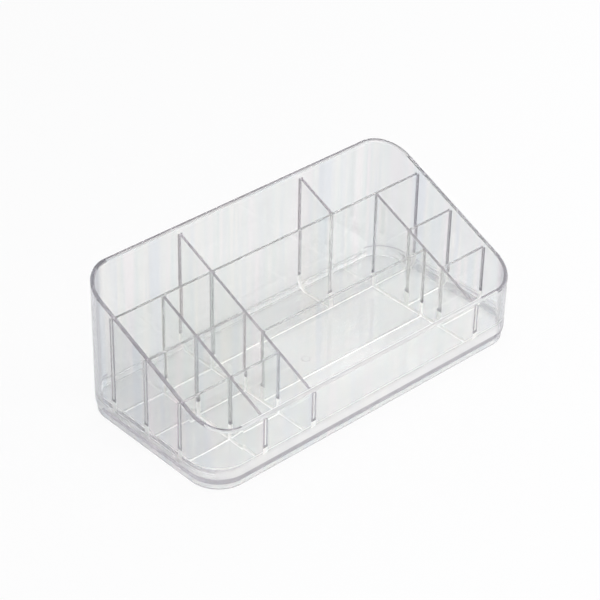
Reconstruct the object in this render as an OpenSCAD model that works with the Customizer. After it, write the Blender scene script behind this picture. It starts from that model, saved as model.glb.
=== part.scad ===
// Clear vanity organizer: an open tray with a sloped rim, a foot ring and ten upright dividers
// X runs left to right, Y front to back and Z up, with the origin under the middle of the foot ring

/* [Body] */
// Overall width, left to right
body_w = 216; // [180:1:260]
// Overall depth, front to back
body_d = 106; // [96:1:130]
// Height of the rim at the back
body_h = 81; // [65:1:100]
// Height of the rim at the front
front_h = 35; // [30:1:50]
// Outside radius of the four upright corners
corner_r = 18.6; // [14:0.1:22]
// Thickness of the walls
wall_t = 2.2; // [1.8:0.1:3]
// Thickness of the floor
floor_t = 2.2; // [1.8:0.1:3]
// Radius of the hollow curve between the walls and the floor
floor_fillet_r = 6.2; // [3:0.1:8]
// Height of the curve that draws the walls in to the foot ring
base_curve_h = 3.9; // [3:0.1:5]
// How far the walls reach below the floor's underside
skirt_h = 1; // [0.9:0.1:1.6]

/* [Foot ring] */
// Height of the foot ring below the walls
foot_h = 3.3; // [2:0.1:6]
// How far the foot ring stands in from the walls
foot_inset = 1; // [0.8:0.1:1.6]
// Thickness of the foot ring
foot_t = 2; // [1.8:0.1:3]
// Height of the tongue on the foot ring
tongue_h = 0.6; // [0.4:0.1:0.7]
// Thickness of the tongue
tongue_t = 0.8; // [0.6:0.1:1]
// Play round the tongue in its groove
tongue_play = 0.1; // [0.05:0.05:0.2]
// Radius of the foot ring's bottom edges
foot_edge_r = 0.5; // [0.2:0.1:0.8]

/* [Dividers] */
// Thickness of the dividers
divider_t = 1.6; // [1.2:0.1:2.4]
// How far the dividers' tops lie below the rim, straight down
rim_drop = 3.3; // [1:0.1:6]
// Clear width of one small cell
cell_w = 30.7; // [26:0.1:34]
// Radius of the hollow curves where a divider's edge meets a wall or another divider
joint_r = 0.8; // [0.4:0.1:1.2]
// Play between a divider's lower corners and the floor's hollow curve
fillet_play = 0.3; // [0.1:0.1:0.6]
// Share of a crossing's height that the cross divider fills
lap_share = 0.5; // [0.3:0.1:0.7]

/* [Gate mark] */
// Diameter of the round mark that the mould leaves under the floor
gate_d = 5; // [3:0.5:8]
// Depth of the round mark
gate_depth = 0.4; // [0.2:0.1:0.6]

/* [Hidden] */
$fn = 96;

// Colour of the clear plastic, and how much of it shows
clear_tint = [0.87, 0.91, 0.94];
clear_share = 0.55;
edge_tint = [0.72, 0.72, 0.76];
edge_share = 0.75;

// Extra length of a cutting shape past the face that it cuts
overrun = 5;

inner_w = body_w - 2 * wall_t;
inner_d = body_d - 2 * wall_t;
left_wall_x = -inner_w / 2;
right_wall_x = inner_w / 2;
front_wall_y = -inner_d / 2;
back_wall_y = inner_d / 2;
underside_z = foot_h + skirt_h;
floor_z = underside_z + floor_t;
rim_slope = (body_h - front_h) / body_d;

// Middles of the dividers that run from front to back
left_column_x = left_wall_x + cell_w + divider_t / 2;
long_x = left_column_x + cell_w + divider_t;
right_column_x = -left_column_x;
rear_bay_x = -long_x;

// Middles of the dividers that run from side to side, which make rows of equal clear depth
row_count = 4;
cell_d = (inner_d - (row_count - 1) * divider_t) / row_count;
front_row_y = front_wall_y + cell_d + divider_t / 2;
middle_row_y = front_row_y + cell_d + divider_t;
rear_row_y = middle_row_y + cell_d + divider_t;
middle_cross_y = (front_wall_y + rear_row_y - divider_t / 2) / 2;

// Height of the rim's plane at depth y
function rim_z(y) = front_h + rim_slope * (y + body_d / 2);

// The same profile carried once round the tray, with the profile's x measured out from the corner's centre
module around() {
    side_x = body_w / 2 - corner_r;
    side_y = body_d / 2 - corner_r;
    for (turn = [0, 180]) {
        rotate(turn) {
            translate([side_x, side_y, 0]) rotate([90, 0, 0]) linear_extrude(2 * side_y) children();
            translate([-side_x, side_y, 0]) rotate([90, 0, 90]) linear_extrude(2 * side_x) children();
            translate([side_x, side_y, 0]) rotate_extrude(angle = 90) children();
            translate([-side_x, side_y, 0]) rotate(90) rotate_extrude(angle = 90) children();
        }
    }
}

// Half of the tray's section: wall, floor, the hollow curve between them, the skirt and the foot ring's groove
module wall_profile() {
    inner_x = corner_r - wall_t;
    fillet_x = inner_x - floor_fillet_r;
    fillet_z = floor_z + floor_fillet_r;
    foot_x = corner_r - foot_inset;
    curve_z = foot_h + base_curve_h;
    curve_r = (pow(base_curve_h, 2) + pow(foot_inset, 2)) / (2 * foot_inset);
    groove_t = tongue_t + 2 * tongue_play;
    difference() {
        translate([0, foot_h]) square([corner_r, body_h - foot_h]);
        translate([-overrun, fillet_z]) square([inner_x + overrun, body_h]);
        translate([-overrun, floor_z]) square([fillet_x + overrun, body_h]);
        translate([fillet_x, fillet_z]) circle(floor_fillet_r);
        difference() {
            translate([foot_x, foot_h - overrun]) square([foot_inset + overrun, base_curve_h + overrun]);
            translate([corner_r - curve_r, curve_z]) circle(curve_r);
        }
        translate([-overrun, foot_h - overrun]) square([foot_x - foot_t + overrun, skirt_h + overrun]);
        translate([foot_x - foot_t / 2 - groove_t / 2, foot_h - overrun])
            square([groove_t, overrun + tongue_h + tongue_play]);
    }
}

// Section of the foot ring, with rounded bottom edges and a tongue along its top
module foot_profile() {
    outer_x = corner_r - foot_inset;
    flat = foot_t - 2 * foot_edge_r;
    translate([outer_x - foot_t, foot_edge_r]) square([foot_t, foot_h - foot_edge_r]);
    translate([outer_x - foot_t + foot_edge_r, 0]) square([flat, foot_edge_r]);
    translate([outer_x - foot_edge_r, foot_edge_r]) circle(foot_edge_r);
    translate([outer_x - foot_t + foot_edge_r, foot_edge_r]) circle(foot_edge_r);
    translate([outer_x - foot_t / 2 - tongue_t / 2, 0]) square([tongue_t, foot_h + tongue_h]);
}

// Everything over the rim's plane
module above_rim() {
    front_y = -body_d / 2 - overrun;
    back_y = body_d / 2 + overrun;
    sky = body_h + body_d;
    rotate([90, 0, 90]) linear_extrude(body_w + 2 * overrun, center = true)
        polygon([[front_y, rim_z(front_y)], [back_y, rim_z(back_y)], [back_y, sky], [front_y, sky]]);
}

module tray_shell() {
    color(clear_tint, clear_share) difference() {
        union() {
            around() wall_profile();
            translate([-body_w / 2 + corner_r, -body_d / 2 + corner_r, underside_z])
                cube([body_w - 2 * corner_r, body_d - 2 * corner_r, floor_t]);
        }
        above_rim();
        translate([0, 0, underside_z - overrun]) cylinder(d = gate_d, h = overrun + gate_depth);
    }
}

module foot_ring() {
    color(edge_tint, edge_share) around() foot_profile();
}

// Upright section that a divider fills between two walls that are span apart, with its lower corners rounded
module between_walls(span) {
    round_r = floor_fillet_r + fillet_play;
    translate([-span / 2, floor_z + round_r]) square([span, body_h]);
    translate([-span / 2 + round_r, floor_z]) square([span - 2 * round_r, body_h]);
    for (side = [-1, 1]) {
        translate([side * (span / 2 - round_r), floor_z + round_r]) circle(round_r);
    }
}

// Upright section of the space under the front-to-back dividers' sloped tops
module below_tops() {
    front_y = -body_d / 2;
    back_y = body_d / 2;
    polygon([
        [front_y, floor_z], [back_y, floor_z],
        [back_y, rim_z(back_y) - rim_drop], [front_y, rim_z(front_y) - rim_drop]
    ]);
}

// Top view of a run of divider from start to stop along X, which widens in hollow curves at both ends
module run_outline(start, stop) {
    wide = divider_t + 2 * joint_r;
    translate([start, -divider_t / 2]) square([stop - start, divider_t]);
    for (end = [[start, 1], [stop, -1]]) {
        translate([end[0], 0]) difference() {
            translate([min(0, end[1] * joint_r), -wide / 2]) square([joint_r, wide]);
            for (side = [-1, 1]) {
                translate([end[1] * joint_r, side * wide / 2]) circle(joint_r);
            }
        }
    }
}

// Side-to-side divider at depth y with a level top, in runs between the stops, joined low down across the gaps
module cross_divider(y, runs) {
    top = rim_z(y) - rim_drop;
    lap_top = floor_z + lap_share * (top - floor_z);
    last = len(runs) - 1;
    color(clear_tint, clear_share) intersection() {
        union() {
            for (run = runs) {
                translate([0, y, 0]) linear_extrude(top) run_outline(run[0], run[1]);
            }
            translate([runs[0][0] + joint_r, y - divider_t / 2, 0])
                cube([runs[last][1] - runs[0][0] - 2 * joint_r, divider_t, lap_top]);
        }
        rotate([90, 0, 0]) linear_extrude(body_d, center = true) between_walls(inner_w);
    }
}

// Front-to-back divider at x from y = start to y = stop, notched from below over each crossing in laps
module column_divider(x, start, stop, laps) {
    color(clear_tint, clear_share) difference() {
        intersection() {
            translate([x, 0, 0]) rotate(90) linear_extrude(body_h) run_outline(start, stop);
            rotate([90, 0, 90]) linear_extrude(body_w, center = true) between_walls(inner_d);
            rotate([90, 0, 90]) linear_extrude(body_w, center = true) below_tops();
        }
        for (y = laps) {
            lap_top = floor_z + lap_share * (rim_z(y) - rim_drop - floor_z);
            translate([x - divider_t, y - divider_t / 2, 0]) cube([2 * divider_t, divider_t, lap_top]);
        }
    }
}

module rear_cross_divider() {
    cross_divider(rear_row_y, [
        [left_wall_x, long_x - divider_t / 2],
        [long_x + divider_t / 2, right_wall_x]
    ]);
}

module long_divider() {
    column_divider(long_x, front_wall_y, back_wall_y, [rear_row_y]);
}

module left_column_divider() {
    column_divider(left_column_x, front_wall_y, rear_row_y - divider_t / 2, [front_row_y, middle_row_y]);
}

module rear_bay_divider() {
    column_divider(rear_bay_x, rear_row_y + divider_t / 2, back_wall_y, []);
}

module right_column_divider() {
    column_divider(right_column_x, front_wall_y, rear_row_y - divider_t / 2, []);
}

module middle_cross_divider() {
    cross_divider(middle_cross_y, [[long_x + divider_t / 2, right_column_x - divider_t / 2]]);
}

// Pair of runs from the left wall to the long divider, on both sides of the left column divider
function left_runs() = [
    [left_wall_x, left_column_x - divider_t / 2],
    [left_column_x + divider_t / 2, long_x - divider_t / 2]
];

module left_rear_cell_divider() {
    cross_divider(middle_row_y, left_runs());
}

module left_front_cell_divider() {
    cross_divider(front_row_y, left_runs());
}

module right_rear_cell_divider() {
    cross_divider(middle_row_y, [[right_column_x + divider_t / 2, right_wall_x]]);
}

module right_front_cell_divider() {
    cross_divider(front_row_y, [[right_column_x + divider_t / 2, right_wall_x]]);
}

tray_shell();
foot_ring();
rear_cross_divider();
long_divider();
left_column_divider();
rear_bay_divider();
right_column_divider();
middle_cross_divider();
left_rear_cell_divider();
left_front_cell_divider();
right_rear_cell_divider();
right_front_cell_divider();
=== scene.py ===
"""Clear vanity organizer: a sloped open tray with upright dividers and a foot ring, in clear moulded plastic.

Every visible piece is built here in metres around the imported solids, which give its place and size. The
pieces meet as bonded clear plastic does: each one reaches a hair into its neighbour, so that light crosses
the joint.
"""

from __future__ import annotations

import logging
import math
from collections.abc import Callable, Iterable
from dataclasses import dataclass
from enum import Enum
from typing import Any

import bmesh
import bpy
from mathutils import Matrix, Vector

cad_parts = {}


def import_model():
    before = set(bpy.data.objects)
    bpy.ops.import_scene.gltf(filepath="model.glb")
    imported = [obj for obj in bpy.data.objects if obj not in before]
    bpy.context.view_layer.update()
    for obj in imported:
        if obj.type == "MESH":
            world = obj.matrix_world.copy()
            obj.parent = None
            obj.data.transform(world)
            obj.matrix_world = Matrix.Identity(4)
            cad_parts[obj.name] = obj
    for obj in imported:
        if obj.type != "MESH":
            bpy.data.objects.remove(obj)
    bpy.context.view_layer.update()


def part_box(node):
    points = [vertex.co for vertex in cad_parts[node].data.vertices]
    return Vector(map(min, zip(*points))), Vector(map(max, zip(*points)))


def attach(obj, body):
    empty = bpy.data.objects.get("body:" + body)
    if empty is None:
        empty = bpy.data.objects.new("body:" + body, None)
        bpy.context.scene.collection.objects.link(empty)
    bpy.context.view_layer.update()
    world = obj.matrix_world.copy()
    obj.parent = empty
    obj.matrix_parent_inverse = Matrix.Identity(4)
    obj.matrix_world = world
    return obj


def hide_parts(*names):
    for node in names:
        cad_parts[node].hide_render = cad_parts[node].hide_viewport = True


LOG = logging.getLogger("vanity_organizer")

MM = 0.001
BODY = "root"
UP = Vector((0.0, 0.0, 1.0))
QUARTER = math.radians(90)

# How far a piece reaches into its neighbour, so that no film of air is left in a bonded joint
BOND = 0.03 * MM

# Angle between two faces from which their edge shows as an edge
SHARP = math.radians(32)

# Distance in metres under which a vertex counts as lying on a cutting plane
ON_PLANE = 1e-8

# How many times its final height a piece has before its top is cut
STOCK = 2.0

# Weight at which smooth shading follows the large faces alone
LARGE_FACES_ALONE = 100

# For each step of a curve, how far it has come in and the height or drop that it has reached
Steps = list[tuple[float, float]]
Triple = tuple[float, float, float]
Materials = list[bpy.types.Material]
Socket = bpy.types.NodeSocket
Face = bmesh.types.BMFace
Edge = bmesh.types.BMEdge


class Axis(Enum):
    """The direction that a divider runs in, by the number of its coordinate."""

    SIDEWAYS = 0
    FRONT_TO_BACK = 1

    @property
    def across(self) -> int:
        """Number of the level coordinate across it."""
        return 1 - self.value


class End(Enum):
    """What the end of a divider's run meets."""

    WALL = "a wall with the hollow curve at its foot"
    DIVIDER = "the face of another divider"


class Skin(Enum):
    """The finish of a face, by its place in a piece's list of materials.

    CLEAR is a polished face, EDGE a grey edge of painted shade, SEAM a bright painted highlight, BLOOM a
    frosted face that is lighter along the front as painted light, STRIPE the base curve in dark painted
    shade, BAND the wall's band over it, lighter as painted light, and SHADE an edge in darker painted shade.
    """

    CLEAR = 0
    EDGE = 1
    SEAM = 2
    BLOOM = 3
    STRIPE = 4
    BAND = 5
    SHADE = 6


def box_of(node: str) -> tuple[Vector, Vector]:
    """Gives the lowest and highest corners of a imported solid, in metres."""
    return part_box(node)


def add_object(name: str, data: bpy.types.ID) -> bpy.types.Object:
    """Adds an object that holds this data to the scene."""
    added = bpy.data.objects.new(name, data)
    bpy.context.scene.collection.objects.link(added)
    return added


@dataclass(frozen=True)
class TraySizes:
    """Sizes that all the pieces share, in metres.

    Attributes:
        low: Lowest corner of the tray shell.
        high: Highest corner of the tray shell.
        front_h: Height of the rim at the front.
        corner_r: Outside radius of the upright corners.
        wall_t: Thickness of the walls.
        floor_t: Thickness of the floor.
        skirt_h: How far the walls reach below the floor's underside.
        fillet_r: Radius of the hollow curve between the walls and the floor.
        base_curve_h: Height of the outside curve that draws the walls in to the foot ring.
        foot_inset: How far the foot ring stands in from the walls.
        foot_t: Thickness of the foot ring.
        divider_t: Thickness of the dividers.
        rim_drop: How far the dividers' tops lie below the rim, straight down.
        joint_r: Radius of the hollow curves where a divider meets the floor, a wall or another divider.
    """

    low: Vector
    high: Vector
    front_h: float = 35.0 * MM
    corner_r: float = 18.6 * MM
    wall_t: float = 2.2 * MM
    floor_t: float = 2.2 * MM
    skirt_h: float = 1.0 * MM
    fillet_r: float = 6.2 * MM
    base_curve_h: float = 3.9 * MM
    foot_inset: float = 1.0 * MM
    foot_t: float = 2.0 * MM
    divider_t: float = 1.6 * MM
    rim_drop: float = 3.3 * MM
    joint_r: float = 0.8 * MM

    @property
    def underside_z(self) -> float:
        """Height of the floor's underside."""
        return self.low.z + self.skirt_h

    @property
    def floor_z(self) -> float:
        """Height of the floor's top face."""
        return self.underside_z + self.floor_t

    @property
    def curve_top(self) -> float:
        """Height at which the hollow curve meets the walls."""
        return self.floor_z + self.fillet_r

    @property
    def front_corner_y(self) -> float:
        """Depth at which the front corners end."""
        return self.low.y + self.corner_r

    @property
    def back_corner_y(self) -> float:
        """Depth at which the back corners start."""
        return self.high.y - self.corner_r

    @property
    def slope(self) -> float:
        """Rise of the rim for each metre of depth."""
        return (self.high.z - self.front_h) / (self.high.y - self.low.y)

    def rim_z(self, y: float) -> float:
        """Gives the height of the rim's plane at depth y."""
        return self.front_h + self.slope * (y - self.low.y)

    def inset(self, place: Vector) -> float:
        """Gives how far a place lies inside the tray's outline, seen from above."""
        middle = (self.low + self.high) / 2
        reach = (self.high - self.low) / 2 - Vector((self.corner_r, self.corner_r, 0.0))
        over = Vector((abs(place.x - middle.x) - reach.x, abs(place.y - middle.y) - reach.y))
        past = Vector((max(over.x, 0.0), max(over.y, 0.0))).length
        return self.corner_r - past - min(max(over.x, over.y), 0.0)

    def rim_normal(self) -> Vector:
        """Gives the upward normal of the rim's plane."""
        return Vector((0.0, -self.slope, 1.0)).normalized()


class PieceMesh:
    """A mesh in the making, with the operators that the organizer's pieces need."""

    def __init__(self) -> None:
        """Starts an empty mesh."""
        self.bm = bmesh.new()

    @property
    def whole(self) -> list[Any]:
        """All its vertices, edges and faces."""
        return [*self.bm.verts, *self.bm.edges, *self.bm.faces]

    def bevel(
        self, geom: list[Any], offset: float, segments: int, affect: str = "EDGES", clamp: bool = False
    ) -> list[Face]:
        """Rounds edges or corners.

        Args:
            geom: The edges or the vertices.
            offset: Radius of the rounding.
            segments: Its segments.
            affect: EDGES or VERTICES.
            clamp: Whether it is held back where two roundings would meet.

        Returns:
            The new faces.
        """
        made = bmesh.ops.bevel(
            self.bm, geom=geom, offset=offset, segments=segments, profile=0.5,
            affect=affect, material=-1, clamp_overlap=clamp,
        )
        return made["faces"]

    def rounded_block(self, low: Vector, high: Vector, upright_r: float, segments: int) -> Face:
        """Adds a block with rounded upright edges.

        Args:
            low: Lowest corner.
            high: Highest corner.
            upright_r: Radius of the four upright edges.
            segments: Segments of an upright edge's rounding.

        Returns:
            Its bottom face.
        """
        size = high - low
        place = Matrix.Translation((low + high) / 2) @ Matrix.Diagonal((*size, 1.0))
        made = bmesh.ops.create_cube(self.bm, size=1.0, matrix=place)["verts"]
        edges = {e for v in made for e in v.link_edges}
        upright = [e for e in edges if abs(e.verts[0].co.z - e.verts[1].co.z) > size.z / 2]
        self.bevel(upright, upright_r, segments)
        self.bm.normal_update()
        return min(self.bm.faces, key=lambda face: face.normal.z)

    def draw_in(self, face: Face, outline: Steps, axis: int = 2, reached: float = 0.0) -> list[Face]:
        """Draws a face in and along the axis that it lies square to, in steps.

        Args:
            face: The face.
            outline: For each step, how far the face then stands in, and its place along the axis.
            axis: Number of the axis, upright if none is given.
            reached: How far the face stands in at the start.

        Returns:
            The faces that the steps leave round it, the first step's first.
        """
        made = []
        for inset, place in outline:
            ring = bmesh.ops.inset_region(
                self.bm, faces=[face], thickness=inset - reached, use_even_offset=True, use_boundary=True
            )
            reached = inset
            for vert in face.verts:
                vert.co[axis] = place
            made.extend(ring["faces"])
        return made

    def cut_above(self, point: Vector, normal: Vector) -> list[Edge]:
        """Takes away what lies on the normal's side of a plane.

        Args:
            point: A point of the plane.
            normal: The plane's normal.

        Returns:
            The open edges that the cut leaves.
        """
        cut = bmesh.ops.bisect_plane(
            self.bm, geom=self.whole, dist=ON_PLANE, plane_co=point, plane_no=normal, clear_outer=True
        )
        return [g for g in cut["geom_cut"] if isinstance(g, Edge)]

    def slice(self, point: Vector, normal: Vector) -> None:
        """Splits the faces along a plane."""
        bmesh.ops.bisect_plane(self.bm, geom=self.whole, dist=ON_PLANE, plane_co=point, plane_no=normal)
        self.bm.normal_update()

    def take_in(self, other: "PieceMesh") -> None:
        """Moves another mesh's faces into this one, and ends the other."""
        keep = bpy.data.meshes.new("joined")
        other.bm.to_mesh(keep)
        other.bm.free()
        self.bm.from_mesh(keep)
        bpy.data.meshes.remove(keep)

    def paint(self, skin: Skin, faces: Iterable[Face], where: Callable[[Vector], bool] | None = None) -> None:
        """Gives some faces a finish.

        Args:
            skin: The finish.
            faces: The faces.
            where: A test that a face's middle has to pass, if there is one.
        """
        for face in faces:
            if where is None or where(face.calc_center_median()):
                face.material_index = skin.value

    def open_edges(self) -> list[Edge]:
        """Gives the edges that have a single face."""
        return [e for e in self.bm.edges if e.is_boundary]

    def finish(self, name: str, finishes: Materials, *nodes: str) -> None:
        """Makes the object, smooth but for its sharp edges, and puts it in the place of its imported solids.

        Args:
            name: Name of the new object.
            finishes: Its materials, in the order of Skin.
            *nodes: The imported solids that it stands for.
        """
        for face in self.bm.faces:
            face.smooth = True
        for edge in self.bm.edges:
            edge.smooth = len(edge.link_faces) == 2 and edge.calc_face_angle(0.0) < SHARP
        mesh = bpy.data.meshes.new(name)
        self.bm.to_mesh(mesh)
        self.bm.free()
        for finish in finishes:
            mesh.materials.append(finish)
        piece = add_object(name, mesh)
        level = piece.modifiers.new("even normals", "WEIGHTED_NORMAL")
        level.weight = LARGE_FACES_ALONE
        level.keep_sharp = True
        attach(piece, BODY)
        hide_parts(*nodes)
        LOG.info("%s: %d faces", name, len(mesh.polygons))


def arc(radius: float, turn: float, steps: int) -> Steps:
    """Gives the steps of a curve that starts straight down and turns in.

    Args:
        radius: Its radius.
        turn: Angle in radians that it turns by.
        steps: How many steps it takes.

    Returns:
        For each step, how far it has come in and down.
    """
    turns = [turn * step / steps for step in range(1, steps + 1)]
    return [(radius * (1 - math.cos(a)), radius * math.sin(a)) for a in turns]


@dataclass
class TrayShell:
    """The walls, the floor and the hollow curve between them.

    Attributes:
        sizes: The shared sizes.
        rim_edge_r: Radius of the rim's two edges.
        rim_edge_steps: Steps of the rounding of those edges.
        corner_arc: Segments of an upright corner.
        base_steps: Steps of the outside curve at the foot of the walls.
        curve_steps: Steps of the hollow curve between the walls and the floor.
        frosted_steps: Steps of that curve, from its top, that are frosted along the front, lighter there as
            painted light.
        line_step: Step of that curve that shows as a grey line of painted shade along the sides.
        highlight_h: Height of the painted highlight, a bright line over the hollow curve.
        left_grey_share: How far the left side's rim of grey painted shade runs on into the front, in corner
            radii.
        right_grey_share: How far along the front from the right end the rim's inner half is grey painted
            shade, in those.
        right_shade_share: How far along the front from the right end the whole rim is dark painted shade, in
            those.
        draft: How far the skirt's inner face leans in.
        level_share: Part of a normal under which a face counts as square to that direction.
        gate_r: Radius of the round mark under the floor.
        gate_rim: Width of that mark's sloping rim.
        gate_depth: How deep that mark is sunk.
        gate_segments: Segments of that mark's circle.
    """

    sizes: TraySizes
    rim_edge_r: float = 0.45 * MM
    rim_edge_steps: int = 3
    corner_arc: int = 24
    base_steps: int = 6
    curve_steps: int = 12
    frosted_steps: int = 4
    line_step: int = 2
    highlight_h: float = 0.6 * MM
    left_grey_share: float = 0.13
    right_grey_share: float = 1.6
    right_shade_share: float = 1.05
    draft: float = 0.05 * MM
    level_share: float = 0.05
    gate_r: float = 2.5 * MM
    gate_rim: float = 0.7 * MM
    gate_depth: float = 0.4 * MM
    gate_segments: int = 48

    def outer_skin(self) -> PieceMesh:
        """Makes the outside, open along the rim's plane, down to the skirt and the floor's underside."""
        s = self.sizes
        top = s.low.z + s.base_curve_h
        skin = PieceMesh()
        low, high = Vector((*s.low.xy, top)), Vector((*s.high.xy, s.high.z * STOCK))
        bottom = skin.rounded_block(low, high, s.corner_r, self.corner_arc)
        radius = (s.base_curve_h**2 + s.foot_inset**2) / (2 * s.foot_inset)
        curve = arc(radius, math.asin(s.base_curve_h / radius), self.base_steps)
        base = skin.draw_in(bottom, [(inset, top - drop) for inset, drop in curve])
        right_corner_x = s.high.x - s.corner_r
        # Painted shade: the base curve is dark except along the back, and darker at the right front corner
        skin.paint(Skin.STRIPE, base, lambda at: at.y < s.back_corner_y)
        skin.paint(Skin.SHADE, base, lambda at: at.y < s.front_corner_y and at.x > right_corner_x)
        skin.draw_in(bottom, [(s.foot_t, s.low.z), (s.foot_t + self.draft, s.underside_z)])
        self.sink_gate_mark(skin, bottom)
        skin.cut_above(UP * s.rim_z(0.0), s.rim_normal())
        skin.slice(UP * s.curve_top, UP)
        # The front band between the base curve and the hollow curve is lighter, painted light with haze
        walls = [f for f in skin.bm.faces if abs(f.normal.z) < self.level_share]
        skin.paint(Skin.BAND, walls, lambda at: top < at.z < s.curve_top and at.y < s.front_corner_y)
        return skin

    def inner_skin(self) -> PieceMesh:
        """Makes the inside, open along the rim's plane, with its faces towards the hollow."""
        s = self.sizes
        inset = Vector((s.wall_t, s.wall_t, 0.0))
        low, high = s.low + inset, s.high - inset
        low.z, high.z = s.curve_top, s.high.z * STOCK
        skin = PieceMesh()
        bottom = skin.rounded_block(low, high, s.corner_r - s.wall_t, self.corner_arc)
        curve = arc(s.fillet_r, QUARTER, self.curve_steps)
        hollow = skin.draw_in(bottom, [(inward, s.curve_top - drop) for inward, drop in curve])
        skin.bm.normal_update()
        self.paint_hollow(skin, hollow)
        skin.cut_above(UP * s.rim_z(0.0), s.rim_normal())
        # A thin bright strip over the hollow curve, except along the back, is a painted highlight
        highlight_top = s.curve_top + self.highlight_h
        skin.slice(UP * highlight_top, UP)
        skin.paint(
            Skin.SEAM, skin.bm.faces, lambda at: s.curve_top < at.z < highlight_top and at.y < s.back_corner_y
        )
        bmesh.ops.reverse_faces(skin.bm, faces=skin.bm.faces[:])
        return skin

    def paint_hollow(self, skin: PieceMesh, hollow: list[Face]) -> None:
        """Frosts the steep part of the hollow curve along the front, lighter as painted light, and lines it
        with grey painted shade along the sides.

        Args:
            skin: The inside.
            hollow: The curve's faces, from the top down.
        """
        around = len(hollow) // self.curve_steps
        steep = hollow[: around * self.frosted_steps]
        lengthwise = [f for f in steep if abs(f.normal.y) > abs(f.normal.x)]
        skin.paint(Skin.BLOOM, lengthwise, lambda at: at.y < 0.0)
        line = hollow[around * (self.line_step - 1) : around * self.line_step]
        skin.paint(Skin.EDGE, [f for f in line if abs(f.normal.x) > self.level_share])

    def sink_gate_mark(self, skin: PieceMesh, underside: Face) -> None:
        """Sinks the round mark that the mould leaves into the middle of the floor's underside.

        Args:
            skin: The outside.
            underside: The underside, which is filled again round the mark.
        """
        level = self.sizes.underside_z
        outline = underside.edges[:]
        circle = bmesh.ops.create_circle(
            skin.bm, cap_ends=True, segments=self.gate_segments, radius=self.gate_r,
            matrix=Matrix.Translation(UP * level),
        )
        mark = circle["verts"][0].link_faces[0]
        bmesh.ops.delete(skin.bm, geom=[underside], context="FACES_ONLY")
        filled = bmesh.ops.triangle_fill(skin.bm, use_beauty=True, edges=[*outline, *mark.edges])["geom"]
        skin.paint(Skin.BLOOM, [mark, *(g for g in filled if isinstance(g, Face))])
        # The mark's sloping rim is grey painted shade
        skin.paint(Skin.EDGE, skin.draw_in(mark, [(self.gate_rim, level + self.gate_depth)]))

    def rim_skin(self, place: Vector) -> Skin:
        """Tells the finish of the rim at a place.

        Its grey, dark and frosted stretches are painted shade and painted light. It is greyed along the left,
        thinly along the back and the right, frosted along the front with a painted highlight on its inner
        edge, and dark at the two corners that are seen side-on. At the ends of the front it is greyed on its
        inner half.
        """
        s = self.sizes
        inset = s.inset(place)
        outer_half = inset < s.wall_t / 2
        outer_edge = inset < self.rim_edge_r
        inner_edge = inset > s.wall_t - self.rim_edge_r
        from_left = (place.x - s.low.x) / s.corner_r
        from_right = (s.high.x - place.x) / s.corner_r
        at_front = place.y < s.front_corner_y
        at_back = place.y > s.back_corner_y
        at_right = from_right < self.right_shade_share
        if (at_front and at_right) or (at_back and from_left < 1.0):
            return Skin.EDGE if inner_edge else Skin.SHADE
        if at_back or at_right:
            if outer_half:
                return Skin.CLEAR if outer_edge else Skin.EDGE
            return Skin.BLOOM if at_back else Skin.CLEAR
        if at_front and from_left > self.left_grey_share:
            if from_left < 1.0 or from_right < self.right_grey_share:
                return Skin.BLOOM if outer_half else Skin.EDGE
            return Skin.SEAM if inner_edge else Skin.BLOOM
        return Skin.CLEAR if inner_edge else Skin.EDGE

    def paint_rim(self, tray: PieceMesh) -> None:
        """Gives the rim's faces their finish, and splits them where a straight stretch changes it."""
        s = self.sizes
        grey_from = s.high.x - s.corner_r * self.right_grey_share
        tray.slice(Vector((grey_from, 0.0, 0.0)), Vector((1.0, 0.0, 0.0)))
        for face in tray.bm.faces:
            middle = face.calc_center_median()
            if (UP * s.rim_z(0.0) - middle).dot(s.rim_normal()) < self.rim_edge_r:
                tray.paint(self.rim_skin(middle), [face])

    def build(self, finishes: Materials) -> None:
        """Builds the shell from an outer and an inner skin, joined along the rim.

        Args:
            finishes: The materials, in the order of Skin.
        """
        tray = self.outer_skin()
        tray.take_in(self.inner_skin())
        bm, rim = tray.bm, tray.open_edges()
        top = bmesh.ops.bridge_loops(bm, edges=rim)["edges"]
        bmesh.ops.subdivide_edges(bm, edges=top, cuts=1)
        bmesh.ops.recalc_face_normals(bm, faces=bm.faces[:])
        tray.bevel(rim, self.rim_edge_r, self.rim_edge_steps, clamp=True)
        bm.normal_update()
        self.paint_rim(tray)
        tray.finish("clear_tray_shell", finishes, "tray_shell")


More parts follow.
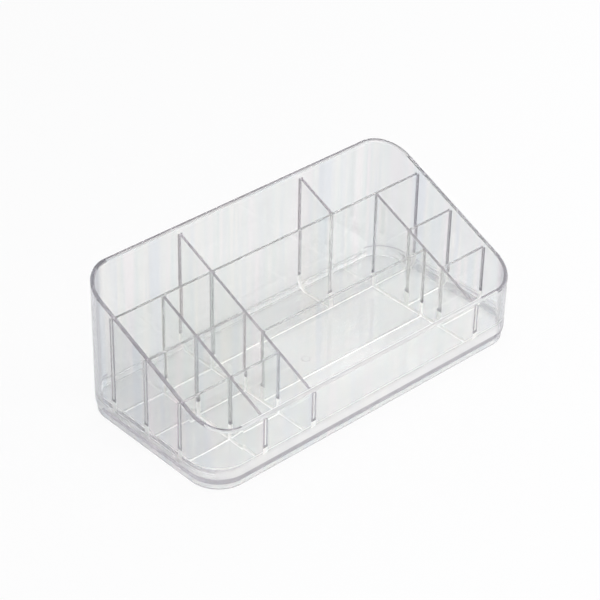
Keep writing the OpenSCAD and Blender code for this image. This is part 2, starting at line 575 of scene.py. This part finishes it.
@dataclass
class FootRing:
    """The low ring that the tray stands on.

    Attributes:
        sizes: The shared sizes.
        edge_r: Radius of its bottom edges.
        corner_arc: Segments of an upright corner.
        edge_steps: Steps of a bottom edge's rounding.
    """

    sizes: TraySizes
    edge_r: float = 0.5 * MM
    corner_arc: int = 24
    edge_steps: int = 4

    def build(self, finishes: Materials) -> None:
        """Builds the ring from its outside, drawn in along the bottom and up again inside.

        Args:
            finishes: The materials, in the order of Skin.
        """
        s = self.sizes
        low, high = box_of("foot_ring")
        top = s.low.z + BOND
        start_z = low.z + self.edge_r
        ring = PieceMesh()
        bottom = ring.rounded_block(
            Vector((*low.xy, start_z)), Vector((*high.xy, top * STOCK)),
            s.corner_r - s.foot_inset, self.corner_arc,
        )
        curve = arc(self.edge_r, QUARTER, self.edge_steps)
        outside = ring.draw_in(bottom, [(inset, start_z - drop) for inset, drop in curve])
        ring.draw_in(bottom, [(s.foot_t - 2 * self.edge_r, low.z)])
        inside = [(self.edge_r - inset, start_z - drop) for inset, drop in reversed(curve[:-1])]
        ring.draw_in(bottom, [*inside, (self.edge_r, start_z), (self.edge_r + BOND, top)])
        # The outer bottom rounding is grey painted shade, a thin dark line
        ring.paint(Skin.EDGE, outside)
        bmesh.ops.delete(ring.bm, geom=[bottom], context="FACES_ONLY")
        ring.cut_above(UP * top, UP)
        bmesh.ops.bridge_loops(ring.bm, edges=ring.open_edges())
        bmesh.ops.recalc_face_normals(ring.bm, faces=ring.bm.faces[:])
        ring.finish("clear_foot_ring", finishes, "foot_ring")


@dataclass
class Run:
    """One stretch of a divider between two faces that it meets.

    Attributes:
        start: Where it starts along the divider.
        start_at: What its start meets.
        stop: Where it stops.
        stop_at: What its stop meets.
    """

    start: float
    start_at: End
    stop: float
    stop_at: End

    def end_at(self, place: float) -> End:
        """Tells what the end that is nearer to this place meets."""
        return self.start_at if place < (self.start + self.stop) / 2 else self.stop_at

    def near_end(self, place: float, reach: float) -> bool:
        """Tells whether this place is within reach of an end."""
        return min(place - self.start, self.stop - place) < reach


@dataclass
class Divider:
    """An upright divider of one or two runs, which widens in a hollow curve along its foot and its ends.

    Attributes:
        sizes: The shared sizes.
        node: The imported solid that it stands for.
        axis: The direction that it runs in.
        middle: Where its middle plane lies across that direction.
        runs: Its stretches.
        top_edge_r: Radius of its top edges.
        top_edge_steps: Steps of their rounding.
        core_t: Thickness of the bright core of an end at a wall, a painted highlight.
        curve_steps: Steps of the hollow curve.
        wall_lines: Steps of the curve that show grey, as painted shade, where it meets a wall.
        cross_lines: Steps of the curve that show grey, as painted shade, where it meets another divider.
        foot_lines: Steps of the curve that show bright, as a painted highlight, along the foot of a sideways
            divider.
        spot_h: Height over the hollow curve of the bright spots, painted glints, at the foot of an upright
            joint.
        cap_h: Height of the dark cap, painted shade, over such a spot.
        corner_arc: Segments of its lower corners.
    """

    sizes: TraySizes
    node: str
    axis: Axis
    middle: float
    runs: list[Run]
    top_edge_r: float = 0.35 * MM
    top_edge_steps: int = 3
    core_t: float = 0.8 * MM
    curve_steps: int = 5
    wall_lines: tuple[int, ...] = (1, 4, 5)
    cross_lines: tuple[int, ...] = (5,)
    foot_lines: tuple[int, ...] = (2, 3, 4)
    spot_h: float = 2.5 * MM
    cap_h: float = 1.6 * MM
    corner_arc: int = 12

    def half_plate(self, run: Run) -> PieceMesh:
        """Makes one side of a run as an open sheet on XZ, with the hollow curve along its foot and its ends.

        Args:
            run: The stretch.

        Returns:
            The sheet, whose outline lies BOND inside the neighbours.
        """
        s = self.sizes
        plate = PieceMesh()
        low = Vector((run.start - BOND, 0.0, s.floor_z - BOND))
        high = Vector((run.stop + BOND, 0.0, s.high.z * STOCK))
        place = (
            Matrix.Translation((low + high) / 2)
            @ Matrix.Diagonal((high.x - low.x, 1.0, high.z - low.z, 1.0))
            @ Matrix.Rotation(QUARTER, 4, "X")
        )
        bmesh.ops.create_grid(plate.bm, x_segments=1, y_segments=1, size=0.5, matrix=place)
        corners = [v for v in plate.bm.verts if v.co.z < s.high.z and run.end_at(v.co.x) is End.WALL]
        if corners:
            plate.bevel(corners, s.fillet_r + BOND, self.corner_arc, affect="VERTICES")
        (face,) = plate.bm.faces
        widest = s.divider_t / 2 + s.joint_r
        for vert in face.verts:
            vert.co.y = -widest
        curve = [(inward, drop - widest) for inward, drop in arc(s.joint_r, QUARTER, self.curve_steps)]
        rings = plate.draw_in(face, curve, axis=1, reached=-BOND)
        around = len(rings) // self.curve_steps
        for number, part in enumerate(rings):
            plate.paint(self.curve_skin(run, number // around + 1, part), [part])
        return plate

    def curve_skin(self, run: Run, step: int, part: Face) -> Skin:
        """Tells the finish of a part of the hollow curve: a painted highlight along the foot, grey painted
        shade on some steps along the ends.

        Args:
            run: The stretch that it is on.
            step: The curve's step that it belongs to.
            part: The part.

        Returns:
            The finish.
        """
        if all(v.co.z < self.sizes.curve_top + BOND for v in part.verts):
            bright = step in self.foot_lines or self.axis is Axis.FRONT_TO_BACK
            return Skin.SEAM if bright else Skin.CLEAR
        met = run.end_at(part.calc_center_median().x)
        lines = self.wall_lines if met is End.WALL else self.cross_lines
        return Skin.EDGE if step in lines else Skin.CLEAR

    def paint_ends(self, plate: PieceMesh, run: Run) -> None:
        """Gives a run's ends the bright core at a wall, and the bright spot and its dark cap at the foot, as
        painted highlights and painted shade.
        """
        s = self.sizes
        spot_top = s.curve_top + self.spot_h
        cap_top = spot_top + self.cap_h
        for side in (-1.0, 1.0):
            core_side = Vector((0.0, side * self.core_t / 2, 0.0))
            plate.slice(core_side, core_side.normalized())
        for level in (spot_top, cap_top):
            plate.slice(UP * level, UP)
        ends = [f for f in plate.bm.faces if run.near_end(f.calc_center_median().x, s.joint_r)]
        at_wall = [f for f in ends if run.end_at(f.calc_center_median().x) is End.WALL]
        plate.paint(Skin.SEAM, at_wall, lambda at: abs(at.y) < self.core_t / 2)
        plate.paint(Skin.SEAM, ends, lambda at: s.floor_z + s.joint_r < at.z < spot_top)
        plate.paint(Skin.SHADE, ends, lambda at: spot_top < at.z < cap_top)

    def stand(self, plate: PieceMesh) -> None:
        """Turns a run to the divider's direction and moves it to its place."""
        verts = plate.bm.verts[:]
        if self.axis is Axis.FRONT_TO_BACK:
            bmesh.ops.rotate(plate.bm, verts=verts, cent=Vector(), matrix=Matrix.Rotation(QUARTER, 3, "Z"))
        step = Vector()
        step[self.axis.across] = self.middle
        bmesh.ops.translate(plate.bm, verts=verts, vec=step)

    def top_off(self, plate: PieceMesh, run: Run) -> None:
        """Cuts a run along the plane of the tops, or level at its own depth, and rounds its top edges, which
        are grey painted shade, as are the sloped tops.
        """
        s = self.sizes
        sloped = self.axis is Axis.FRONT_TO_BACK
        level = s.rim_z(0.0 if sloped else self.middle) - s.rim_drop
        cut = plate.cut_above(UP * level, s.rim_normal() if sloped else UP)
        top = bmesh.ops.contextual_create(plate.bm, geom=cut)["faces"]
        plate.paint(Skin.EDGE if sloped else Skin.CLEAR, top)
        bmesh.ops.recalc_face_normals(plate.bm, faces=plate.bm.faces[:])
        ends = (run.start - BOND, run.stop + BOND)
        along = self.axis.value
        on_end = {v for v in plate.bm.verts if any(abs(v.co[along] - end) < BOND / 2 for end in ends)}
        sides = [e for e in cut if not on_end.issuperset(e.verts)]
        plate.paint(Skin.EDGE, plate.bevel(sides, self.top_edge_r, self.top_edge_steps, clamp=True))

    def plate(self, run: Run) -> PieceMesh:
        """Makes a closed run of the divider.

        Args:
            run: The stretch.

        Returns:
            The run, in its place.
        """
        plate = self.half_plate(run)
        bmesh.ops.mirror(plate.bm, geom=plate.whole, matrix=Matrix.Identity(4), merge_dist=-1.0, axis="Y")
        bmesh.ops.bridge_loops(plate.bm, edges=plate.open_edges())
        self.paint_ends(plate, run)
        self.stand(plate)
        self.top_off(plate, run)
        return plate

    def build(self, finishes: Materials) -> None:
        """Builds the divider.

        Args:
            finishes: The materials, in the order of Skin.
        """
        first, *others = [self.plate(run) for run in self.runs]
        for other in others:
            first.take_in(other)
        first.finish(f"clear_{self.node}", finishes, self.node)


@dataclass
class DividerSet:
    """The ten dividers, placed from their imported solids.

    Attributes:
        sizes: The shared sizes.
    """

    sizes: TraySizes

    def span(self, node: str, coordinate: int) -> tuple[float, float]:
        """Gives where a divider starts and stops along a coordinate."""
        low, high = box_of(node)
        return low[coordinate], high[coordinate]

    def end_at(self, place: float, axis: Axis) -> End:
        """Tells what a divider's end at this place meets."""
        s = self.sizes
        walls = (s.low[axis.value] + s.wall_t, s.high[axis.value] - s.wall_t)
        return End.WALL if any(abs(place - wall) < s.wall_t / 2 for wall in walls) else End.DIVIDER

    def divider(self, node: str, axis: Axis, crossed: str | None = None) -> Divider:
        """Makes a divider, in two runs where another one passes through it.

        Args:
            node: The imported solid.
            axis: The direction that it runs in.
            crossed: The divider that passes through it, if one does.

        Returns:
            The divider.
        """
        stops = [(place, self.end_at(place, axis)) for place in self.span(node, axis.value)]
        if crossed:
            there = sum(self.span(crossed, axis.value)) / 2
            half = self.sizes.divider_t / 2
            stops[1:1] = [(there - half, End.DIVIDER), (there + half, End.DIVIDER)]
        runs = [Run(*first, *last) for first, last in zip(stops[::2], stops[1::2])]
        return Divider(self.sizes, node, axis, sum(self.span(node, axis.across)) / 2, runs)

    def build(self, finishes: Materials) -> None:
        """Builds all the dividers.

        Args:
            finishes: The materials, in the order of Skin.
        """
        for node in ("long_divider", "left_column_divider", "right_column_divider", "rear_bay_divider"):
            self.divider(node, Axis.FRONT_TO_BACK).build(finishes)
        for node, crossed in (
            ("rear_cross_divider", "long_divider"),
            ("middle_cross_divider", None),
            ("left_rear_cell_divider", "left_column_divider"),
            ("left_front_cell_divider", "left_column_divider"),
            ("right_rear_cell_divider", None),
            ("right_front_cell_divider", None),
        ):
            self.divider(node, Axis.SIDEWAYS, crossed).build(finishes)


class Term:
    """A shader socket in an expression, where each operator adds its Math node."""

    def __init__(self, tree: bpy.types.NodeTree, socket: Socket) -> None:
        """Wraps an output socket of a node tree."""
        self.tree = tree
        self.socket = socket

    def _math(self, operation: str, first: Any, second: Any) -> "Term":
        """Adds a Math node on two terms or numbers."""
        node = self.tree.nodes.new("ShaderNodeMath")
        node.operation = operation
        for slot, value in zip(node.inputs, (first, second)):
            if isinstance(value, Term):
                self.tree.links.new(value.socket, slot)
            else:
                slot.default_value = value
        return Term(self.tree, node.outputs[0])

    def __sub__(self, other: Any) -> "Term":
        """Subtracts."""
        return self._math("SUBTRACT", self, other)

    def __rsub__(self, other: Any) -> "Term":
        """Subtracts from a number."""
        return self._math("SUBTRACT", other, self)

    def __mul__(self, other: Any) -> "Term":
        """Multiplies."""
        return self._math("MULTIPLY", self, other)

    __rmul__ = __mul__

    def size(self) -> "Term":
        """Takes the value without its sign."""
        return self._math("ABSOLUTE", self, 0.0)

    def larger(self, other: Any) -> "Term":
        """Takes the larger of the two."""
        return self._math("MAXIMUM", self, other)


class Tree:
    """A node tree with one method for any node."""

    def __init__(self, owner: bpy.types.Material | bpy.types.World) -> None:
        """Empties the node tree of a material or a world."""
        owner.use_nodes = True
        self.tree = owner.node_tree
        self.tree.nodes.clear()

    def node(
        self, kind: str, settings: dict[str, Any] | None = None, inputs: dict[str | int, Any] | None = None
    ) -> bpy.types.Node:
        """Adds a node.

        Args:
            kind: The node's type, without its ShaderNode prefix.
            settings: Its settings, set before its sockets.
            inputs: Values, sockets or terms for its input sockets, by name or number.

        Returns:
            The node.
        """
        node = self.tree.nodes.new(f"ShaderNode{kind}")
        for name, value in (settings or {}).items():
            setattr(node, name, value)
        for name, value in (inputs or {}).items():
            if isinstance(value, Term):
                self.tree.links.new(value.socket, node.inputs[name])
            elif isinstance(value, Socket):
                self.tree.links.new(value, node.inputs[name])
            else:
                node.inputs[name].default_value = value
        return node

    def term(self, socket: Socket) -> Term:
        """Wraps a socket for an expression."""
        return Term(self.tree, socket)

    def mixed(self, share: Any, first: bpy.types.Node, second: bpy.types.Node) -> bpy.types.Node:
        """Mixes two shaders.

        Args:
            share: Share of the second.
            first: Node of the first.
            second: Node of the second.

        Returns:
            The mix's node.
        """
        return self.node("MixShader", inputs={0: share, 1: first.outputs[0], 2: second.outputs[0]})

    def toned(self, colour: Socket, share: Term, tint: Triple) -> Socket:
        """Multiplies a colour by a tint.

        Args:
            colour: The colour.
            share: How much of the tint it takes, held between 0 and 1.
            tint: The tint.

        Returns:
            The toned colour.
        """
        mix = self.node("Mix", {"data_type": "RGBA", "blend_type": "MULTIPLY"}, {
            "Factor": share, "A": colour, "B": (*tint, 1.0),
        })
        return mix.outputs["Result"]

    def ramp(self, factor: Any, stops: list[tuple[float, Triple]]) -> Socket:
        """Adds a colour ramp.

        Args:
            factor: What it reads.
            stops: Places and colours.

        Returns:
            Its colour output.
        """
        node = self.node("ValToRGB", inputs={"Fac": factor})
        elements = node.color_ramp.elements
        while len(elements) > 1:
            elements.remove(elements[-1])
        elements[0].position, elements[0].color = stops[0][0], (*stops[0][1], 1.0)
        for place, colour in stops[1:]:
            elements.new(place).color = (*colour, 1.0)
        return node.outputs["Color"]


@dataclass(frozen=True)
class ClearPlastic:
    """Clear moulded styrene, with the faint pastel bands that moulding strain leaves.

    Attributes:
        name: Name of the material.
        tints: Colours that the bands run through.
        clear_share: Share of the light that its surface lets in, the rest is bloom.
        roughness: Roughness of its polish.
        ior: Refractive index.
        band_scale: Repeats a metre of the bands, which run up the walls.
        band_detail: Octaves of the bands.
        band_span: Strain at which the first and the last tint are reached.
        side_shading_tint: Colour that tones the faces that look to the left and the right, painted shade
            below 1 and painted light above 1.
        front_haze: Share of haze on the faces that look to the front, which fades round the corners,
            lightening them as painted light.
        haze_clear_share: Share of the light that the haze lets in.
        haze_roughness: Roughness of the haze.
        wave_scale: Repeats a metre of the faint waviness of its faces.
        wave_height: Height of that waviness in metres.
        wave_strength: Share of it that the shading takes.
        shadow_tint: Share of a lamp's light that one of its surfaces lets past.
        grazing_tint: Colour that tones what is seen side-on, partly the longer path through the plastic and
            partly painted shade.
        grazing_from: How far from head-on that toning starts, where 1 is side-on.
        grazing_rise: How fast it rises from there.
    """

    name: str
    tints: tuple[Triple, ...]
    clear_share: float = 0.95
    roughness: float = 0.015
    ior: float = 1.57
    band_scale: Triple = (110.0, 110.0, 3.0)
    band_detail: float = 5.0
    band_span: tuple[float, float] = (0.38, 0.62)
    side_shading_tint: Triple | None = None
    front_haze: float = 0.0
    haze_clear_share: float = 0.6
    haze_roughness: float = 0.25
    wave_scale: float = 38.0
    wave_height: float = 0.02 * MM
    wave_strength: float = 0.5
    shadow_tint: Triple = (0.88, 0.88, 0.88)
    grazing_tint: Triple | None = None
    grazing_from: float = 0.45
    grazing_rise: float = 5.0

    def tint(self, tree: Tree, place: Socket, turned: Term) -> Socket:
        """Makes the bands' colour, toned with painted shade and light by the way that a face looks.

        Args:
            tree: The material's tree.
            place: The place on the piece.
            turned: How squarely a face looks to a side.

        Returns:
            The colour.
        """
        banded = tree.node("VectorMath", {"operation": "MULTIPLY"}, {0: place, 1: self.band_scale})
        strain = tree.node("TexNoise", inputs={
            "Vector": banded.outputs["Vector"], "Scale": 1.0, "Detail": self.band_detail,
        })
        first, last = self.band_span
        step = (last - first) / (len(self.tints) - 1)
        stops = [(first + step * number, colour) for number, colour in enumerate(self.tints)]
        colour = tree.ramp(strain.outputs["Fac"], stops)
        # Painted shade on faces that look left and right, painted light where the tint is above 1
        if self.side_shading_tint:
            colour = tree.toned(colour, turned, self.side_shading_tint)
        # Painted shade where a face is seen side-on, partly standing for the longer path through the plastic
        if self.grazing_tint:
            facing = tree.term(tree.node("LayerWeight").outputs["Facing"])
            colour = tree.toned(colour, (facing - self.grazing_from) * self.grazing_rise, self.grazing_tint)
        return colour

    def waves(self, tree: Tree, place: Socket) -> Socket:
        """Makes the faces' faint waviness, as a normal."""
        noise = tree.node("TexNoise", inputs={"Vector": place, "Scale": self.wave_scale, "Detail": 0.0})
        bump = tree.node("Bump", inputs={
            "Strength": self.wave_strength, "Distance": self.wave_height, "Height": noise.outputs["Fac"],
        })
        return bump.outputs["Normal"]

    def build(self) -> bpy.types.Material:
        """Builds the material.

        Returns:
            The material.
        """
        material = bpy.data.materials.new(self.name)
        tree = Tree(material)
        coordinates = tree.node("TexCoord").outputs
        normal = tree.node("SeparateXYZ", inputs={0: coordinates["Normal"]}).outputs
        inputs = {
            "Base Color": self.tint(tree, coordinates["Object"], tree.term(normal["X"]).size()),
            "Roughness": self.roughness,
            "IOR": self.ior,
            "Transmission Weight": self.clear_share,
            "Normal": self.waves(tree, coordinates["Object"]),
        }
        shader = tree.node("BsdfPrincipled", inputs=inputs)
        # Haze on the faces that look to the front, lighter there as painted light
        if self.front_haze:
            hazed = {**inputs, "Roughness": self.haze_roughness, "Transmission Weight": self.haze_clear_share}
            haze = tree.node("BsdfPrincipled", inputs=hazed)
            shader = tree.mixed(tree.term(normal["Y"]).size() * self.front_haze, shader, haze)
        past = tree.node("BsdfTransparent", inputs={"Color": (*self.shadow_tint, 1.0)})
        whole = tree.mixed(tree.node("LightPath").outputs["Is Shadow Ray"], shader, past)
        tree.node("OutputMaterial", inputs={"Surface": whole.outputs["Shader"]})
        return material


# What the walls are toned by where they are seen side-on: partly the longer path through the plastic, partly
# painted shade
SIDE_ON = (0.62, 0.62, 0.66)

FINISHES = {
    Skin.CLEAR: ClearPlastic(
        name="clear plastic walls",
        tints=((0.885, 0.91, 0.935), (0.98, 0.968, 0.945), (0.895, 0.932, 0.925), (0.98, 0.952, 0.957)),
        side_shading_tint=(0.94, 0.94, 0.95),
        grazing_tint=SIDE_ON,
    ),
    # Grey painted shade on edges, rims, tops and joint lines
    Skin.EDGE: ClearPlastic(
        name="clear plastic edge",
        tints=((0.48, 0.45, 0.50), (0.56, 0.53, 0.57)),
        clear_share=0.75,
        roughness=0.2,
    ),
    # Near-white painted highlights on divider feet, joint ends, the front rim and the line over the hollow
    # curve
    Skin.SEAM: ClearPlastic(
        name="highlight paint",
        tints=((0.99, 0.99, 0.97), (1.0, 0.99, 0.97)),
        clear_share=0.1,
        roughness=0.3,
    ),
    # Frosted haze on the underside. Along the front rim and hollow curve it lightens them as painted light
    Skin.BLOOM: ClearPlastic(
        name="frosted underside",
        tints=((0.865, 0.88, 0.905), (0.955, 0.935, 0.925), (0.89, 0.905, 0.91), (0.96, 0.94, 0.94)),
        clear_share=0.6,
        roughness=0.25,
        band_scale=(9.0, 110.0, 9.0),
    ),
    # Dark painted shade on the base curve, lighter on the faces that look left and right as painted light
    Skin.STRIPE: ClearPlastic(
        name="base curve in painted shade",
        tints=((0.37, 0.36, 0.39), (0.42, 0.40, 0.43)),
        clear_share=0.5,
        roughness=0.25,
        side_shading_tint=(1.3, 1.3, 1.3),
    ),
    # A near-white band over the base, lighter than the walls as painted light, hazed on the front faces
    Skin.BAND: ClearPlastic(
        name="clear plastic band over the base",
        tints=((0.97, 0.97, 0.97), (1.0, 0.99, 0.97)),
        grazing_tint=SIDE_ON,
        front_haze=0.9,
    ),
    Skin.SHADE: ClearPlastic(
        name="clear plastic edge in shade",
        tints=((0.29, 0.28, 0.32), (0.34, 0.32, 0.36)),
        clear_share=0.75,
        roughness=0.2,
    ),
}

# The dividers have this in the place of CLEAR
PANEL = ClearPlastic(
    name="clear plastic panels",
    tints=((0.90, 0.92, 0.94), (0.98, 0.967, 0.948), (0.905, 0.935, 0.93), (0.98, 0.952, 0.958)),
)


@dataclass(frozen=True)
class StudioFloor:
    """The white paper that the object stands on, which shows white and keeps a faint shadow.

    Attributes:
        size: Width of the paper in metres.
        shown_share: Share of it that shows as plain white to the camera.
        through_share: Share of it that shows as plain white through clear pieces and in reflections.
        tint: Its own colour.
    """

    size: float = 6.0
    shown_share: float = 0.86
    through_share: float = 0.25
    tint: Triple = (0.80, 0.80, 0.80)

    def build(self) -> None:
        """Builds the floor and its material."""
        bm = bmesh.new()
        bmesh.ops.create_grid(bm, x_segments=1, y_segments=1, size=self.size / 2)
        mesh = bpy.data.meshes.new("studio floor")
        bm.to_mesh(mesh)
        bm.free()
        material = bpy.data.materials.new("white paper")
        tree = Tree(material)
        path = tree.node("LightPath").outputs
        shown = tree.term(path["Is Camera Ray"]) * self.shown_share
        glimpsed = tree.term(path["Is Transmission Ray"]).larger(tree.term(path["Is Glossy Ray"]))
        seen = shown.larger(glimpsed * self.through_share)
        paper = tree.node("BsdfDiffuse", inputs={"Color": (*self.tint, 1.0)})
        white = tree.node("Emission", inputs={"Color": (1.0, 1.0, 1.0, 1.0), "Strength": 1.0})
        tree.node("OutputMaterial", inputs={"Surface": tree.mixed(seen, paper, white).outputs["Shader"]})
        mesh.materials.append(material)
        floor = add_object("studio floor", mesh)


@dataclass(frozen=True)
class Softbox:
    """A square soft lamp that faces the object.

    Attributes:
        name: The lamp's name.
        place: Where it hangs, in metres.
        power: Its power in watts.
        size: Its width in metres.
    """

    name: str
    place: Triple
    power: float
    size: float = 0.6

    def build(self) -> None:
        """Adds the lamp."""
        data = bpy.data.lights.new(self.name, "AREA")
        data.shape = "SQUARE"
        data.size = self.size
        data.energy = self.power
        lamp = add_object(self.name, data)
        lamp.location = self.place
        lamp.rotation_mode = "QUATERNION"
        lamp.rotation_quaternion = (-Vector(self.place)).to_track_quat("-Z", "Y")


LAMPS = (
    Softbox("key softbox", (1.0, -0.5, 0.85), power=8.9),
    Softbox("fill softbox", (-0.7, -1.0, 0.7), power=6.0),
)


@dataclass(frozen=True)
class StudioRoom:
    """The room's own soft light, white near the floor and darker above, which shows white to the camera.

    Attributes:
        low_tint: Colour of the room near the floor.
        high_tint: Colour of the room overhead.
        low_top: Height, as a share of straight up, to which it is white.
        high_foot: Height from which it is darker.
    """

    low_tint: Triple = (0.99, 0.99, 0.98)
    high_tint: Triple = (0.66, 0.66, 0.68)
    low_top: float = 0.18
    high_foot: float = 0.42

    def build(self) -> None:
        """Builds the world."""
        world = bpy.data.worlds.new("studio room")
        bpy.context.scene.world = world
        tree = Tree(world)
        place = tree.node("TexCoord").outputs["Generated"]
        height = tree.node("SeparateXYZ", inputs={0: place}).outputs["Z"]
        room = tree.ramp(height, [(self.low_top, self.low_tint), (self.high_foot, self.high_tint)])
        lit = tree.node("Background", inputs={"Color": room, "Strength": 1.0})
        shown = tree.node("Background", inputs={"Color": (1.0, 1.0, 1.0, 1.0), "Strength": 1.0})
        seen = tree.node("LightPath").outputs["Is Camera Ray"]
        tree.node("OutputWorld", inputs={"Surface": tree.mixed(seen, lit, shown).outputs["Shader"]})


@dataclass(frozen=True)
class StudioCamera:
    """The camera at the photograph's place, found by matching the dividers' corners.

    Attributes:
        picture: Width of the photograph in pixels.
        focal: Focal length in pixels of that picture.
        azimuth: Degrees that the camera stands round from the front, negative to the left.
        elevation: Degrees above the horizon.
        roll: Degrees that the picture is turned.
        distance: Distance in metres.
        shift_right: Sideways step of the camera in metres.
        shift_up: Upward step of the camera in metres.
        aim_h: Height of the point that it turns about.
        sensor: Width of its sensor in millimetres.
        clip: Distances in metres from which and to which it sees.
    """

    picture: int = 600
    focal: float = 2189.8
    azimuth: float = -43.19
    elevation: float = 34.47
    roll: float = 1.28
    distance: float = 1.1520
    shift_right: float = -0.00257
    shift_up: float = 0.02482
    aim_h: float = 12.7 * MM
    sensor: float = 36.0
    clip: tuple[float, float] = (0.05, 20.0)

    def build(self) -> None:
        """Builds the camera."""
        az, el, roll = (math.radians(v) for v in (self.azimuth, self.elevation, self.roll))
        back = Vector((math.sin(az) * math.cos(el), -math.cos(az) * math.cos(el), math.sin(el)))
        level = (-back).cross(UP).normalized()
        rise = level.cross(-back)
        right = level * math.cos(roll) + rise * math.sin(roll)
        up = rise * math.cos(roll) - level * math.sin(roll)
        data = bpy.data.cameras.new("photo camera")
        data.sensor_width = self.sensor
        data.lens = self.sensor * self.focal / self.picture
        data.clip_start, data.clip_end = self.clip
        place = UP * self.aim_h + back * self.distance + right * self.shift_right + up * self.shift_up
        turn = Matrix((right, up, back)).transposed().to_4x4()
        camera = add_object("photo camera", data)
        camera.matrix_world = Matrix.Translation(place) @ turn
        bpy.context.scene.camera = camera


def light_paths() -> None:
    """Lets light cross all the clear walls, and keeps the colours as written."""
    scene = bpy.context.scene
    scene.view_settings.view_transform = "Standard"
    cycles = scene.cycles
    cycles.max_bounces = 40
    cycles.transmission_bounces = 40
    cycles.glossy_bounces = 24
    cycles.diffuse_bounces = 4
    cycles.transparent_max_bounces = 24
    cycles.sample_clamp_indirect = 4.0
    cycles.use_denoising = True


def main() -> None:
    """Builds the organizer, the studio and the camera."""
    logging.basicConfig(level=logging.INFO, format="%(name)s: %(message)s")
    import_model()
    low, high = box_of("tray_shell")
    sizes = TraySizes(low, high)
    finishes = [FINISHES[skin].build() for skin in Skin]
    TrayShell(sizes).build(finishes)
    FootRing(sizes).build(finishes)
    DividerSet(sizes).build([PANEL.build(), *finishes[1:]])
    for staging in (StudioFloor(), StudioRoom(), *LAMPS, StudioCamera()):
        staging.build()
    light_paths()


if __name__ == "__main__":
    main()
